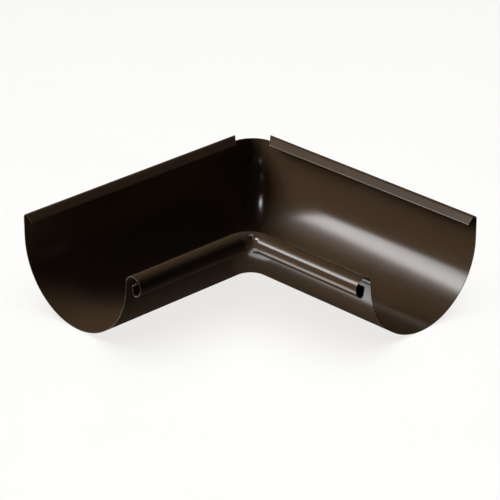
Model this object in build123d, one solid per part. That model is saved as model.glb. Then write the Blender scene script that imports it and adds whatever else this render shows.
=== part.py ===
from build123d import *
from math import cos, radians, sin, sqrt
import os

os.makedirs("parts", exist_ok=True)

# Internal gutter angle: two half round channels pressed from one coated steel
# sheet, meeting at 90 degrees. One arm runs along +X and one along -Y. The
# flat back walls meet at the outer corner, the rolled bead is on the inner
# side of the bend, and the corner is rounded on both sides.
# All sizes are in millimetres. While the angle is drawn, its two back faces
# would meet at X = Y = 0 and its underside is at Z = 0.

# The sheet and the channel
sheet = 0.7                  # steel sheet with its coating
channel_radius = 64.1        # outer face of the half round
arm_length = 268.0           # outer corner to open end
overall_height = 85.2        # underside to the top of the back wall's fold

# The lip folded in along each back wall
fold_radius = 3.0            # outer face of the fold
lip_reach = 10.3             # back face to the lip's free edge
lip_slope = 42.0             # degrees below level
lip_edge_radius = 1.0        # outer face of the lip's turned down edge
lip_edge_turn = 55.0         # degrees
lip_set_back = 7.6           # how far its free edge stops short of the fold's end

# The bead rolled out along each front wall
bead_radius = 9.0            # outer face of the roll
bead_rise = 0.5              # centre of the roll above the half round's axis
bead_wrap = 250.0            # degrees from the wall, over the top, to the tight bend
tight_radius = 2.35          # outer face of the bend under the roll
tight_turn = 98.0            # degrees
return_length = 6.4          # flat between the tight bend and the flange
flange_radius = 1.25         # outer face of the bend into the flange
flange_turn = 68.5           # degrees
flange_length = 6.1

# The rounded corner
back_corner_radius = 23.5    # outer face of the back wall, seen from above
front_corner_radius = 26.0   # outer face of the front wall, seen from above
corner_rim_height = 78.4     # the back wall is cut lower round the corner
slot_width = 5.8             # slot across the bead at the middle of the bend
slot_start = 10.3            # front wall's outer face to the slot, past the bead's crest

axis_height = channel_radius                 # height of the half rounds' axes
front_face = 2 * channel_radius              # front wall's outer face, from the back face
front_centre = front_face + front_corner_radius
past = 2.0                                   # how far a cutter runs past what it cuts
mirror_plane = Plane(origin=(0, 0, 0), z_dir=(1, 1, 0))


def polar(radius, angle):
    return Vector(radius * cos(radians(angle)), radius * sin(radians(angle)))


def both_arms(solid):
    """The X arm's solid and its mirror image on the Y arm."""
    return [solid, mirror(solid, about=mirror_plane)]


def along_x(outline, start, end):
    """Extrude an outline, drawn as (from the back face, height), along the X arm."""
    place = Plane(origin=(start, 0, 0), x_dir=(0, -1, 0), z_dir=(-1, 0, 0))
    return extrude(place * outline, amount=start - end)


def strip(line):
    """Outline of the sheet between a line at its one face and at its other."""
    near = line(0)
    far = line(sheet)
    ends = [Line(near @ 0, far @ 0), Line(near @ 1, far @ 1)]
    return make_face(near.edges() + far.edges() + ends)


def back_rim_line(inset):
    """Straight top of the back wall, its fold and its lip, from the outer face in."""
    square = 90 - lip_slope
    centre = Vector(fold_radius, overall_height - fold_radius)
    wall = Line((inset, axis_height), (inset, centre.Y))
    fold = CenterArc(centre, fold_radius - inset, 180, -90 - lip_slope)
    across = lip_reach - lip_edge_radius - fold_radius
    flat = (across + polar(lip_edge_radius - fold_radius, square).X) / cos(radians(lip_slope))
    lip = Line(fold @ 1, fold @ 1 + polar(flat, -lip_slope))
    edge_centre = lip @ 1 - polar(lip_edge_radius - inset, square)
    edge = CenterArc(edge_centre, lip_edge_radius - inset, square, -lip_edge_turn)
    return Wire([wall, fold, lip, edge])


def bead_line(inset):
    """Top of the front wall and the bead rolled out of it, from the hollow side in."""
    roll = bead_radius - sheet
    tight = tight_radius - sheet
    bend = flange_radius - sheet
    roll_centre = Vector(front_face + roll, axis_height + bead_rise)
    roll_end = 180 - bead_wrap
    tight_centre = roll_centre + polar(roll - tight, roll_end)
    tight_end = roll_end - tight_turn
    rise = polar(return_length, tight_end - 90)
    bend_centre = tight_centre + polar(tight - bend, tight_end) + rise
    wall = Line((front_face - inset, axis_height), (front_face - inset, roll_centre.Y))
    over = CenterArc(roll_centre, roll + inset, 180, -bead_wrap)
    under = CenterArc(tight_centre, tight + inset, roll_end, -tight_turn)
    back = Line(under @ 1, under @ 1 + rise)
    turn = CenterArc(bend_centre, bend + inset, tight_end, -flange_turn)
    flange = Line(turn @ 1, turn @ 1 + polar(flange_length, tight_end - flange_turn - 90))
    return Wire([wall, over, under, back, turn, flange])


def bowl_wedge(start, face, low):
    """Filled wedge of the bowl at a rounded corner, out from the bowl's axis.

    Seen from above its rim is an arc between the two arms, and every upright
    cut through the axis is a quarter of an ellipse, so that the skin runs
    smoothly into both half rounds."""
    middle = sqrt(0.5)
    grid = []
    for x, y in [(start, -face), (face, -face), (face, -start)]:
        rim_point = Vector(x, y, axis_height)
        below_rim = Vector(x, y, low)
        grid.append([rim_point, below_rim, Vector(channel_radius, -channel_radius, low)])
    weights = [[1, middle, 1], [middle, middle ** 2, middle], [1, middle, 1]]
    skin = Face.make_bezier_surface(grid, weights)
    axis_top = Vector(channel_radius, -channel_radius, axis_height)
    axis_line = Line(axis_top, grid[0][2])
    rim, *sides = skin.edges().sort_by(Axis.Z, reverse=True)
    faces = [skin, Face(Wire([rim, Line(rim @ 0, axis_top), Line(rim @ 1, axis_top)]))]
    for side in sides:
        corner = side.vertices().sort_by(Axis.Z)[-1]
        faces.append(Face(Wire([side, axis_line, Line(axis_top, corner)])))
    return Solid(Shell(faces))


def bowl_arm(start_back, start_front, inset, end):
    """Filled half round along the X arm, cut to meet both wedges."""
    radius = channel_radius - inset
    half = Circle(radius) & Rectangle(2 * radius, radius, align=(Align.CENTER, Align.MAX))
    arm = along_x(Pos(channel_radius, axis_height) * half, 0, end)
    plan = make_face(Polyline(
        (channel_radius, -channel_radius), (start_back, -inset), (end, -inset),
        (end, inset - front_face), (start_front, inset - front_face),
        (channel_radius, -channel_radius)))
    return arm & extrude(plan, amount=axis_height)


def bowl(inset, end):
    """Filled lower half of the angle. The sheet lies between two of these."""
    low = inset
    far = front_face - inset
    back = bowl_wedge(back_corner_radius, inset, low)
    front = bowl_wedge(front_centre, far, low)
    arm, other = both_arms(bowl_arm(back_corner_radius, front_centre, inset, end))
    return back + front + arm + other


def back_rims():
    """Back walls above the half round, with the lips cut back at the corner."""
    rim = along_x(strip(back_rim_line), back_corner_radius, arm_length)
    free_end = back_corner_radius + lip_set_back
    cut = make_face(Polyline(
        (back_corner_radius, -sheet), (free_end, -lip_reach), (free_end, -lip_reach - past),
        (back_corner_radius - past, -lip_reach - past), (back_corner_radius - past, -sheet),
        (back_corner_radius, -sheet)))
    return both_arms(rim - Pos(0, 0, axis_height) * extrude(cut, amount=overall_height))


def back_corner():
    """Back wall round the corner, up to its lower rim."""
    centre = Pos(back_corner_radius, -back_corner_radius)
    ring = centre * (Circle(back_corner_radius) - Circle(back_corner_radius - sheet))
    quarter = Rectangle(back_corner_radius, back_corner_radius, align=(Align.MIN, Align.MAX))
    return Pos(0, 0, axis_height) * extrude(ring & quarter, amount=corner_rim_height - axis_height)


def bead():
    """Front walls above the half round with their bead, round the whole bend."""
    outline = strip(bead_line)
    arms = both_arms(along_x(outline, front_centre, arm_length))
    start = Plane(origin=(front_centre, 0, 0), x_dir=(0, -1, 0), z_dir=(-1, 0, 0)) * outline
    turn = Axis((front_centre, -front_centre, 0), (0, 0, 1))
    bend = revolve(start, axis=turn, revolution_arc=90)
    slot_length = front_corner_radius - slot_start
    slot = Box(slot_length, slot_width, overall_height, align=(Align.MIN, Align.CENTER, Align.MIN))
    middle = Pos(front_centre, -front_centre) * Rot(0, 0, 135)
    return arms + [bend - middle * slot]


angle = bowl(0, arm_length) - bowl(sheet, arm_length + past)
for solid in back_rims() + [back_corner()] + bead():
    angle = angle + solid
angle = Pos(-arm_length / 2, arm_length / 2) * angle
print("solids:", len(angle.solids()), "valid:", angle.is_valid, "volume:", round(angle.volume))
print("size:", angle.bounding_box())
export_step(angle, "parts/gutter_angle.step")
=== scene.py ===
import math

import bpy
from mathutils import Matrix, Vector


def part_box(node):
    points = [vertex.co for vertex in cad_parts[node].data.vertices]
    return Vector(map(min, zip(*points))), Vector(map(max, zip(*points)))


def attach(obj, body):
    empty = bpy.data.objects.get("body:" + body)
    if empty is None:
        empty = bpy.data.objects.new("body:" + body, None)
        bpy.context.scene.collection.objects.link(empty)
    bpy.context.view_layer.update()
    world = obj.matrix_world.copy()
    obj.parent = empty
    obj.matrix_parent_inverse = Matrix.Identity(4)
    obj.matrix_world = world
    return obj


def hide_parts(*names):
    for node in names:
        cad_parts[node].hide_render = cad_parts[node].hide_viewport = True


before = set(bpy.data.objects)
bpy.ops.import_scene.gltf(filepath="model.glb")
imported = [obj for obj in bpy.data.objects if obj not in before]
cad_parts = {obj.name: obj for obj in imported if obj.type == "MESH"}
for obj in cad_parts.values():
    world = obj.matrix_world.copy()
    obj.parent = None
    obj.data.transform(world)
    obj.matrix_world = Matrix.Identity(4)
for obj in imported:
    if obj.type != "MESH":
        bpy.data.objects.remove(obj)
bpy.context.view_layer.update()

print("frame loaded")


def mm(value):
    return value / 1000.0


def hexColour(code):
    channels = [int(code[i:i + 2], 16) / 255.0 for i in (1, 3, 5)]
    linear = [c / 12.92 if c <= 0.04045 else ((c + 0.055) / 1.055) ** 2.4 for c in channels]
    return (*linear, 1.0)


def addNode(tree, kind, settings, inputs):
    # settings are the node's own choices, inputs are values or sockets to link
    node = tree.nodes.new(kind)
    for name, value in settings.items():
        setattr(node, name, value)
    for name, value in inputs.items():
        if isinstance(value, bpy.types.NodeSocket):
            tree.links.new(value, node.inputs[name])
        else:
            node.inputs[name].default_value = value
    return node


# The gutter angle: one sheet of steel, bent to a section and turned round the corner

nodeLow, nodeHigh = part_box("gutter_angle")
gutter = {
    "armLength": nodeHigh[0] - nodeLow[0],   # outer corner to open end
    "height": nodeHigh[2] - nodeLow[2],      # underside to the fold
    "sheet": mm(0.7),
    "radius": mm(64.1),                      # outer face of the half round
    "foldRadius": mm(3.0),
    "lipReach": mm(10.3),
    "lipSlope": 42.0,                        # degrees below level
    "lipEdgeRadius": mm(1.0),                # the lip's edge is turned down
    "lipEdgeTurn": 55.0,
    "lipSetBack": mm(7.6),                   # its free edge stops this much short of the fold's end
    "beadRadius": mm(9.0),                   # outer face of the roll
    "beadRise": mm(0.5),
    "beadWrap": 250.0,                       # degrees from the wall over the top
    "tightRadius": mm(2.35),                 # outer face of the bend under the roll
    "tightTurn": 98.0,
    "returnLength": mm(6.4),                 # flat inside the bead, then the flange
    "flangeRadius": mm(1.25),
    "flangeTurn": 68.5,
    "flangeLength": mm(6.1),
    "backCorner": mm(23.5),                  # plan radius of the back wall
    "frontCorner": mm(26.0),                 # plan radius of the front wall
    "rimHeight": mm(78.4),                   # top of the back wall round the corner
    "slotWidth": mm(5.8),
    "slotStart": mm(10.3),                   # front face to the slot, just past the crest
    "armSteps": 24,                          # rows of faces along each arm
    "turnSteps": 16,                         # rows from an arm to the slot
    "slotSteps": 4,                          # rows across the slot
    # rows of faces across each flat, and degrees between the points of each bend
    "flatRows": {"lip": 5, "upperWall": 4, "wall": 8, "return": 4, "flange": 4},
    "bendSteps": {"lipEdge": 9.0, "fold": 8.0, "bowl": 3.0, "roll": 3.0, "tight": 10.0, "bend": 12.0},
    "weld": mm(0.001),                       # points nearer than this are one
    "edgeRound": mm(0.12),                   # rounded rim of the cut sheet
    "edgeSegments": 2,
    "edgeAngle": 60.0,                       # degrees, only the cut edges are sharper
}


def polar(radius, angle):
    turn = math.radians(angle)
    return Vector((radius * math.cos(turn), radius * math.sin(turn)))


def arcPoints(centre, radius, start, sweep, step):
    count = max(2, math.ceil(abs(sweep) / step))
    return [centre + polar(radius, start + sweep * i / count) for i in range(count + 1)]


def linePoints(start, end, count):
    return [start.lerp(end, i / count) for i in range(count + 1)]


def sectionLine(g):
    # outer face of the sheet as (across, height), from the lip's free edge
    # to the flange in the bead
    fold = Vector((g["foldRadius"], g["height"] - g["foldRadius"]))
    square = 90 - g["lipSlope"]
    foldStart = fold + polar(g["foldRadius"], square)
    across = g["lipReach"] - g["lipEdgeRadius"] + polar(g["lipEdgeRadius"], square).x - foldStart.x
    lipEnd = foldStart + across * Vector((1, -math.tan(math.radians(g["lipSlope"]))))
    lipEdge = lipEnd - polar(g["lipEdgeRadius"], square)
    axis = Vector((g["radius"], g["radius"]))
    rim = Vector((0, g["rimHeight"]))
    rollRadius = g["beadRadius"] - g["sheet"]
    tightRadius = g["tightRadius"] - g["sheet"]
    bendRadius = g["flangeRadius"] - g["sheet"]
    roll = Vector((2 * g["radius"] + rollRadius, g["radius"] + g["beadRise"]))
    rollEnd = 180 - g["beadWrap"]
    tight = roll + polar(rollRadius - tightRadius, rollEnd)
    tightEnd = rollEnd - g["tightTurn"]
    rise = polar(g["returnLength"], tightEnd - 90)
    bend = tight + polar(tightRadius - bendRadius, tightEnd) + rise
    bendEnd = tightEnd - g["flangeTurn"]
    flangeStart = bend + polar(bendRadius, bendEnd)
    flangeEnd = flangeStart + polar(g["flangeLength"], bendEnd - 90)
    returnStart = tight + polar(tightRadius, tightEnd)
    returnEnd = bend + polar(bendRadius, tightEnd)
    slotCut = math.degrees(math.acos((g["slotStart"] - rollRadius) / rollRadius))
    edgeTurn = g["lipEdgeTurn"]
    rows = g["flatRows"]
    steps = g["bendSteps"]
    runs = {
        "lipEdge": arcPoints(lipEdge, g["lipEdgeRadius"], square - edgeTurn, edgeTurn, steps["lipEdge"]),
        "lip": linePoints(lipEnd, foldStart, rows["lip"]),
        "fold": arcPoints(fold, g["foldRadius"], square, 180 - square, steps["fold"]),
        "upperWall": linePoints(Vector((0, fold.y)), rim, rows["upperWall"]),
        "wall": linePoints(rim, Vector((0, axis.y)), rows["wall"]),
        "backBowl": arcPoints(axis, g["radius"], 180, 90, steps["bowl"]),
        "frontBowl": arcPoints(axis, g["radius"], 270, 90, steps["bowl"]),
        "crest": arcPoints(roll, rollRadius, 180, slotCut - 180, steps["roll"]),
        "roll": arcPoints(roll, rollRadius, slotCut, rollEnd - slotCut, steps["roll"]),
        "tight": arcPoints(tight, tightRadius, rollEnd, -g["tightTurn"], steps["tight"]),
        "return": linePoints(returnStart, returnEnd, rows["return"]),
        "bend": arcPoints(bend, bendRadius, tightEnd, -g["flangeTurn"], steps["bend"]),
        "flange": linePoints(flangeStart, flangeEnd, rows["flange"]),
    }
    points = []
    for name, run in runs.items():
        for point in run:
            if not points or (points[-1][1] - point).length > g["weld"]:
                points.append((name, point))
    return points


def turningOf(name, point, g):
    # place of the upright axis that a point turns about, how far it is set back
    # at the corner, and half the slot's angle
    frontCentre = 2 * g["radius"] + g["frontCorner"]
    offset = point - Vector((g["radius"], g["radius"]))
    share = abs(offset.x) / offset.length
    place = {
        "backBowl": g["radius"] - (g["radius"] - g["backCorner"]) * share,
        "frontBowl": g["radius"] + (frontCentre - g["radius"]) * share,
    }.get(name, g["backCorner"] if offset.x < 0 else frontCentre)
    setBack = 0.0
    if name in ("lipEdge", "lip", "fold"):
        reached = max(0.0, point.x - g["sheet"]) / (g["lipReach"] - g["sheet"])
        setBack = g["lipSetBack"] * reached
    arm = frontCentre - max(point.x, 2 * g["radius"])
    return (place, setBack, math.asin(g["slotWidth"] / 2 / arm))


def sectionMesh(g):
    line = sectionLine(g)
    mesh = bpy.data.meshes.new("gutterSection")
    edges = [(i, i + 1) for i in range(len(line) - 1)]
    mesh.from_pydata([(p.x, 0, p.y) for _, p in line], edges, [])
    turning = mesh.attributes.new("turning", "FLOAT_VECTOR", "POINT")
    for i, (name, point) in enumerate(line):
        turning.data[i].vector = turningOf(name, point, g)
    rimPoint = next(i for i, (name, _) in enumerate(line) if name == "wall") - 1
    slotPoint = next(i for i, (name, _) in enumerate(line) if name == "roll") - 1
    return mesh, rimPoint, slotPoint


def turnTree():
    # sweeps the section down one arm, about each point's own axis, and along the other
    tree = bpy.data.node_groups.new("turnTheSheet", "GeometryNodeTree")
    tree.is_modifier = True
    face = tree.interface
    face.new_socket("Section", in_out="INPUT", socket_type="NodeSocketGeometry")
    face.new_socket("Arm length", in_out="INPUT", socket_type="NodeSocketFloat")
    for name in ("Arm steps", "Turn steps", "Slot steps", "Rim point", "Slot point"):
        face.new_socket(name, in_out="INPUT", socket_type="NodeSocketInt")
    face.new_socket("Weld", in_out="INPUT", socket_type="NodeSocketFloat")
    face.new_socket("Finish", in_out="INPUT", socket_type="NodeSocketMaterial")
    face.new_socket("Sheet", in_out="OUTPUT", socket_type="NodeSocketGeometry")
    given = addNode(tree, "NodeGroupInput", {}, {}).outputs

    def worked(kind, operation, values):
        return addNode(tree, kind, {"operation": operation}, dict(enumerate(values))).outputs[0]

    def calc(operation, *values):
        return worked("ShaderNodeMath", operation, values)

    def whole(operation, *values):
        return worked("FunctionNodeIntegerMath", operation, values)

    def logic(operation, *values):
        return worked("FunctionNodeBooleanMath", operation, values)

    def share(value, start, end):
        node = addNode(tree, "ShaderNodeMapRange", {"clamp": True},
                       {"Value": value, "From Min": start, "From Max": end})
        return node.outputs["Result"]

    def isLess(a, b):
        # sockets 2 and 3 are the two whole numbers
        node = addNode(tree, "FunctionNodeCompare", {"data_type": "INT", "operation": "LESS_THAN"},
                       {2: a, 3: b})
        return node.outputs[0]

    size = addNode(tree, "GeometryNodeAttributeDomainSize", {"component": "MESH"},
                   {"Geometry": given["Section"]})
    count = size.outputs["Point Count"]
    turnEnd = whole("ADD", given["Arm steps"], given["Turn steps"])
    slotEnd = whole("ADD", turnEnd, given["Slot steps"])
    bendEnd = whole("ADD", slotEnd, given["Turn steps"])
    lastRow = whole("ADD", bendEnd, given["Arm steps"])
    grid = addNode(tree, "GeometryNodeMeshGrid", {},
                   {"Vertices X": whole("ADD", lastRow, 1), "Vertices Y": count})
    index = addNode(tree, "GeometryNodeInputIndex", {}, {}).outputs[0]
    row = whole("DIVIDE", index, count)
    column = whole("MODULO", index, count)

    def fromSection(value):
        sample = addNode(tree, "GeometryNodeSampleIndex",
                         {"data_type": "FLOAT_VECTOR", "domain": "POINT"},
                         {"Geometry": given["Section"], "Value": value, "Index": column})
        return addNode(tree, "ShaderNodeSeparateXYZ", {}, {0: sample.outputs[0]}).outputs

    position = addNode(tree, "GeometryNodeInputPosition", {}, {}).outputs[0]
    turning = addNode(tree, "GeometryNodeInputNamedAttribute", {"data_type": "FLOAT_VECTOR"},
                      {"Name": "turning"})
    across, _, height = fromSection(position)
    place, setBack, slotAngle = fromSection(turning.outputs[0])

    firstArm = share(row, given["Arm steps"], 0)
    otherArm = share(row, bendEnd, lastRow)
    firstTurn = share(row, given["Arm steps"], turnEnd)
    slotTurn = share(row, turnEnd, slotEnd)
    otherTurn = share(row, slotEnd, bendEnd)
    side = calc("SUBTRACT", math.pi / 4, slotAngle)
    angle = calc("ADD", calc("MULTIPLY", side, calc("ADD", firstTurn, otherTurn)),
                 calc("MULTIPLY", calc("MULTIPLY", slotAngle, 2.0), slotTurn))
    radius = calc("SUBTRACT", place, across)
    run = calc("SUBTRACT", calc("SUBTRACT", given["Arm length"], place), setBack)
    half = calc("DIVIDE", given["Arm length"], 2.0)
    onFirst = isLess(row, whole("ADD", given["Arm steps"], 1))
    onOther = isLess(whole("SUBTRACT", bendEnd, 1), row)
    outX = calc("ADD", calc("MULTIPLY", run, firstArm), calc("MULTIPLY", setBack, onFirst))
    outY = calc("ADD", calc("MULTIPLY", run, otherArm), calc("MULTIPLY", setBack, onOther))
    turnedX = calc("MULTIPLY", radius, calc("SINE", angle))
    turnedY = calc("MULTIPLY", radius, calc("COSINE", angle))
    x = calc("ADD", calc("SUBTRACT", calc("SUBTRACT", place, half), turnedX), outX)
    y = calc("SUBTRACT", calc("ADD", calc("SUBTRACT", half, place), turnedY), outY)
    spot = addNode(tree, "ShaderNodeCombineXYZ", {}, {"X": x, "Y": y, "Z": height}).outputs[0]
    swept = addNode(tree, "GeometryNodeSetPosition", {},
                    {"Geometry": grid.outputs["Mesh"], "Position": spot})

    # the wall over the corner's rim and the bead in the slot are cut away
    faceCount = whole("SUBTRACT", count, 1)
    faceRow = whole("DIVIDE", index, faceCount)
    faceColumn = whole("MODULO", index, faceCount)
    inBend = logic("NIMPLY", isLess(faceRow, bendEnd), isLess(faceRow, given["Arm steps"]))
    inSlot = logic("NIMPLY", isLess(faceRow, slotEnd), isLess(faceRow, turnEnd))
    overRim = logic("AND", inBend, isLess(faceColumn, given["Rim point"]))
    pastWall = logic("NIMPLY", inSlot, isLess(faceColumn, given["Slot point"]))
    cut = addNode(tree, "GeometryNodeDeleteGeometry", {"domain": "FACE"},
                  {"Geometry": swept.outputs[0], "Selection": logic("OR", overRim, pastWall)})
    closed = addNode(tree, "GeometryNodeMergeByDistance", {},
                     {"Geometry": cut.outputs[0], "Distance": given["Weld"]})
    smooth = addNode(tree, "GeometryNodeSetShadeSmooth", {}, {"Geometry": closed.outputs[0]})
    real = addNode(tree, "GeometryNodeRealizeInstances", {}, {"Geometry": smooth.outputs[0]})
    painted = addNode(tree, "GeometryNodeSetMaterial", {},
                      {"Geometry": real.outputs[0], "Material": given["Finish"]})
    addNode(tree, "NodeGroupOutput", {}, {"Sheet": painted.outputs[0]})
    return tree


def makeGutter(g, finish):
    mesh, rimPoint, slotPoint = sectionMesh(g)
    draft = bpy.data.objects.new("gutterDraft", mesh)
    bpy.context.scene.collection.objects.link(draft)
    turn = draft.modifiers.new("turn", "NODES")
    turn.node_group = turnTree()
    values = {"Arm length": g["armLength"], "Arm steps": g["armSteps"], "Turn steps": g["turnSteps"],
              "Slot steps": g["slotSteps"], "Rim point": rimPoint, "Slot point": slotPoint,
              "Weld": g["weld"], "Finish": finish}
    for item in turn.node_group.interface.items_tree:
        if item.name in values:
            turn[item.identifier] = values[item.name]
    wall = draft.modifiers.new("wall", "SOLIDIFY")
    wall.thickness = g["sheet"]
    wall.offset = 1.0  # the section is the outer face
    wall.use_even_offset = True
    rounded = draft.modifiers.new("rounded", "BEVEL")
    rounded.width = g["edgeRound"]
    rounded.segments = g["edgeSegments"]
    rounded.limit_method = "ANGLE"
    rounded.angle_limit = math.radians(g["edgeAngle"])
    rounded.use_clamp_overlap = False
    weighted = draft.modifiers.new("weighted", "WEIGHTED_NORMAL")
    weighted.keep_sharp = True
    evaluated = draft.evaluated_get(bpy.context.evaluated_depsgraph_get())
    plain = bpy.data.meshes.new_from_object(evaluated)
    plain.name = "gutterAngle"
    bpy.data.objects.remove(draft)
    piece = bpy.data.objects.new("gutterAngle", plain)
    bpy.context.scene.collection.objects.link(piece)
    return piece


coating = {
    "deepBrown": "#463627",
    "paleBrown": "#4a3a2b",
    "mottle": mm(22),        # the two browns and the gloss drift over this distance
    "mottleDetail": 3.0,
    "ior": 1.5,              # polyester
    "roughLow": 0.17,
    "roughHigh": 0.20,
    "peel": mm(1.6),         # spacing of the orange peel
    "peelDetail": 1.0,
    "peelStrength": 0.02,
    "peelDepth": mm(0.02),
}


def faintMix(tree, place, spacing, detail, first, second):
    # noise on Object coordinates that drifts between two close colours: the mix takes
    # them at sockets 6 and 7 and gives its colour at output 2
    noise = addNode(tree, "ShaderNodeTexNoise", {},
                    {"Vector": place, "Scale": 1 / spacing, "Detail": detail})
    colour = addNode(tree, "ShaderNodeMix", {"data_type": "RGBA"},
                     {0: noise.outputs[0], 6: hexColour(first), 7: hexColour(second)})
    return noise.outputs[0], colour.outputs[2]


def coilCoating(c):
    # polyester coil coating on galvanised steel: satin chocolate brown with a faint orange peel
    material = bpy.data.materials.new("chocolateCoilCoating")
    material.use_nodes = True
    tree = material.node_tree
    shader = tree.nodes["Principled BSDF"]
    shader.inputs["IOR"].default_value = c["ior"]
    place = addNode(tree, "ShaderNodeTexCoord", {}, {}).outputs["Object"]
    drift, colour = faintMix(tree, place, c["mottle"], c["mottleDetail"], c["deepBrown"], c["paleBrown"])
    tree.links.new(colour, shader.inputs["Base Color"])
    gloss = addNode(tree, "ShaderNodeMapRange", {},
                    {"Value": drift, "To Min": c["roughLow"], "To Max": c["roughHigh"]})
    tree.links.new(gloss.outputs[0], shader.inputs["Roughness"])
    peel = addNode(tree, "ShaderNodeTexNoise", {},
                   {"Vector": place, "Scale": 1 / c["peel"], "Detail": c["peelDetail"]})
    bump = addNode(tree, "ShaderNodeBump", {},
                   {"Height": peel.outputs[0], "Strength": c["peelStrength"], "Distance": c["peelDepth"]})
    tree.links.new(bump.outputs[0], shader.inputs["Normal"])
    return material


gutterPiece = makeGutter(gutter, coilCoating(coating))
print("gutter made:", len(gutterPiece.data.polygons), "faces")
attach(gutterPiece, "root")
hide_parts("gutter_angle")


# The studio: a white board, and soft lamps placed as the photograph's reflections show them

studio = {
    "floorSize": 12.0,       # metres
    "floorDrop": mm(0.1),    # how far the board lies below the part
    "floorColours": ("#e9e9e7", "#ecebea"),
    "floorMottle": mm(120),
    "floorDetail": 2.0,
    "floorRough": 0.6,
    "boardPower": 285.0,
    "shadePower": 12.0,      # the part of the board's light that the angle shades
    "boardHeight": 3.5,      # of the lamps over the board
    "boardLampSize": 6.0,
    "world": 0.012,          # grey of the dark room
    # Each lamp: its middle, the azimuth and elevation that it faces, its width and height,
    # its power and, where it isn't even, how bright its dim side is. A gloss lamp is only
    # seen mirrored in the coating, and a matt one only lights its colour.
    "lamps": {
        "keyStrip": {"middle": (-2.828, -2.828, 3.90), "faces": (45.0, 0.0),
                     "size": (0.84, 4.76), "power": 166.0, "dim": 0.80},
        "upperFill": {"middle": (-1.079, -1.042, 1.35), "faces": (44.0, -41.0),
                      "size": (0.9, 0.9), "power": 25.5, "lights": "matt"},
        "frontFill": {"middle": (-0.320, -1.813, 0.820), "faces": (80.0, -23.0),
                      "size": (0.9, 0.7), "power": 5.0, "lights": "matt"},
        "lipGlow": {"middle": (-1.192, -0.634, 1.35), "faces": (28.0, -45.0),
                    "size": (0.5, 0.4), "power": 0.16, "lights": "gloss"},
        "cornerGlow": {"middle": (-0.618, -0.964, 1.66), "faces": (65.0, -53.0),
                       "size": (0.5, 0.4), "power": 12.5, "lights": "gloss"},
        "cornerSpot": {"middle": (0.168, -1.343, -0.152), "faces": (101.0, 8.0),
                       "size": (0.25, 0.15), "power": 0.23, "lights": "gloss"},
        "upperSpot": {"middle": (-0.115, -1.310, 0.510), "faces": (90.0, -18.0),
                      "size": (0.25, 0.25), "power": 0.12, "lights": "gloss"},
        "lowPanel": {"middle": (-0.50, -0.894, -1.0), "faces": (102.0, 89.9),
                     "size": (1.9, 1.04), "power": 22.0},
        "rightFill": {"middle": (-0.28, 1.98, 0.42), "faces": (-82.0, -12.0),
                      "size": (1.2, 0.6), "power": 14.0},
        "leftFill": {"middle": (-1.98, 0.28, 0.42), "faces": (-8.0, -12.0),
                     "size": (1.2, 0.6), "power": 14.0},
    },
}


def studioBoard(s):
    # matt laminated board, faintly mottled
    material = bpy.data.materials.new("paleBoard")
    material.use_nodes = True
    tree = material.node_tree
    shader = tree.nodes["Principled BSDF"]
    place = addNode(tree, "ShaderNodeTexCoord", {}, {}).outputs["Object"]
    _, colour = faintMix(tree, place, s["floorMottle"], s["floorDetail"], *s["floorColours"])
    tree.links.new(colour, shader.inputs["Base Color"])
    shader.inputs["Roughness"].default_value = s["floorRough"]
    mesh = bpy.data.meshes.new("board")
    h = s["floorSize"] / 2
    mesh.from_pydata([(-h, -h, 0), (h, -h, 0), (h, h, 0), (-h, h, 0)], [], [(0, 1, 2, 3)])
    mesh.materials.append(material)
    board = bpy.data.objects.new("board", mesh)
    board.location.z = -s["floorDrop"]
    board.visible_glossy = False   # the coating mirrors lamps and a dark room, as in the photograph
    board.visible_diffuse = False
    board.visible_shadow = False   # the low panel is under the board and still lights the part
    bpy.context.scene.collection.objects.link(board)
    return board


def direction(azimuth, elevation):
    flat = polar(math.cos(math.radians(elevation)), azimuth)
    return Vector((flat.x, flat.y, math.sin(math.radians(elevation))))


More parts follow.
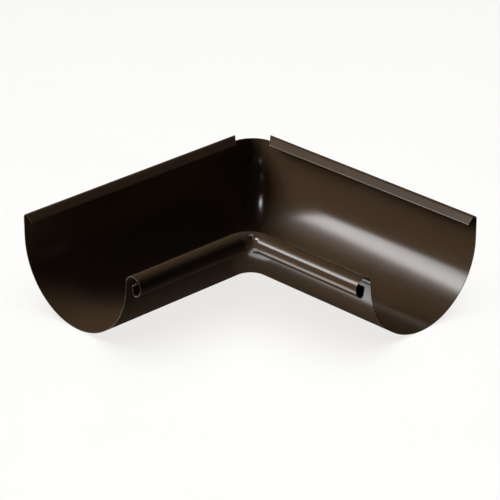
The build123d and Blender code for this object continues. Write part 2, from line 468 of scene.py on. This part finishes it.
def softbox(name, lit, middle, faces, size, power, dim=1.0, lights="all"):
    light = bpy.data.lights.new(name, "AREA")
    light.shape = "RECTANGLE"
    light.size, light.size_y = size
    light.energy = power
    light.use_nodes = True
    tree = light.node_tree
    cloth = addNode(tree, "ShaderNodeNewGeometry", {}, {}).outputs["Parametric"]
    across = addNode(tree, "ShaderNodeSeparateXYZ", {}, {0: cloth})
    graded = addNode(tree, "ShaderNodeMapRange", {},
                     {"Value": across.outputs["X"], "To Min": 1.0, "To Max": dim})
    tree.links.new(graded.outputs[0], tree.nodes["Emission"].inputs["Strength"])
    lamp = bpy.data.objects.new(name, light)
    lamp.location = middle
    lamp.rotation_euler = direction(*faces).to_track_quat("-Z", "Y").to_euler()
    lamp.visible_camera = False
    lamp.visible_glossy = lights != "matt"
    lamp.visible_diffuse = lights != "gloss"
    lamp.light_linking.receiver_collection = lit
    bpy.context.scene.collection.objects.link(lamp)
    return lamp


def litGroup(name, item):
    group = bpy.data.collections.new(name)
    group.objects.link(item)
    return group


board = studioBoard(studio)
partOnly = litGroup("partOnly", gutterPiece)
boardOnly = litGroup("boardOnly", board)
for lampName, lampSettings in studio["lamps"].items():
    softbox(lampName, partOnly, **lampSettings)
overBoard = {"middle": (0, 0, studio["boardHeight"]), "faces": (0, -90),
             "size": [studio["boardLampSize"]] * 2, "lights": "matt"}
boardLamp = softbox("boardLamp", boardOnly, power=studio["boardPower"], **overBoard)
boardLamp.light_linking.blocker_collection = boardOnly  # the angle casts no shade in this one
softbox("shadeLamp", boardOnly, power=studio["shadePower"], **overBoard)

world = bpy.data.worlds.new("studioRoom")
world.use_nodes = True
world.node_tree.nodes["Background"].inputs["Color"].default_value = (*[studio["world"]] * 3, 1.0)
bpy.context.scene.world = world
bpy.context.scene.view_settings.view_transform = "Standard"
print("studio made")


# The camera, at the photograph's angle

view = {
    "azimuth": 45.899,       # 0 looks along +Y
    "elevation": 25.338,
    "roll": -0.134,
    "spot": Vector((1.45205, -1.40725, 1.00969)),   # where it stands
    "focal": 2659.2,         # pixels, in a frame 500 pixels wide
    "frame": 500.0,
    "sensor": 36.0,          # mm
    "clip": (0.1, 50.0),
}


def photoCamera(v):
    lens = bpy.data.cameras.new("photoCamera")
    lens.sensor_width = v["sensor"]
    lens.lens = v["focal"] / v["frame"] * v["sensor"]
    lens.clip_start, lens.clip_end = v["clip"]
    camera = bpy.data.objects.new("photoCamera", lens)
    back = direction(v["azimuth"] - 90, v["elevation"])
    right = direction(v["azimuth"], 0)
    up = back.cross(right)
    turn = Matrix((right, up, back)).transposed() @ Matrix.Rotation(math.radians(v["roll"]), 3, "Z")
    camera.matrix_world = Matrix.Translation(v["spot"]) @ turn.to_4x4()
    bpy.context.scene.collection.objects.link(camera)
    bpy.context.scene.camera = camera


photoCamera(view)
print("camera made")
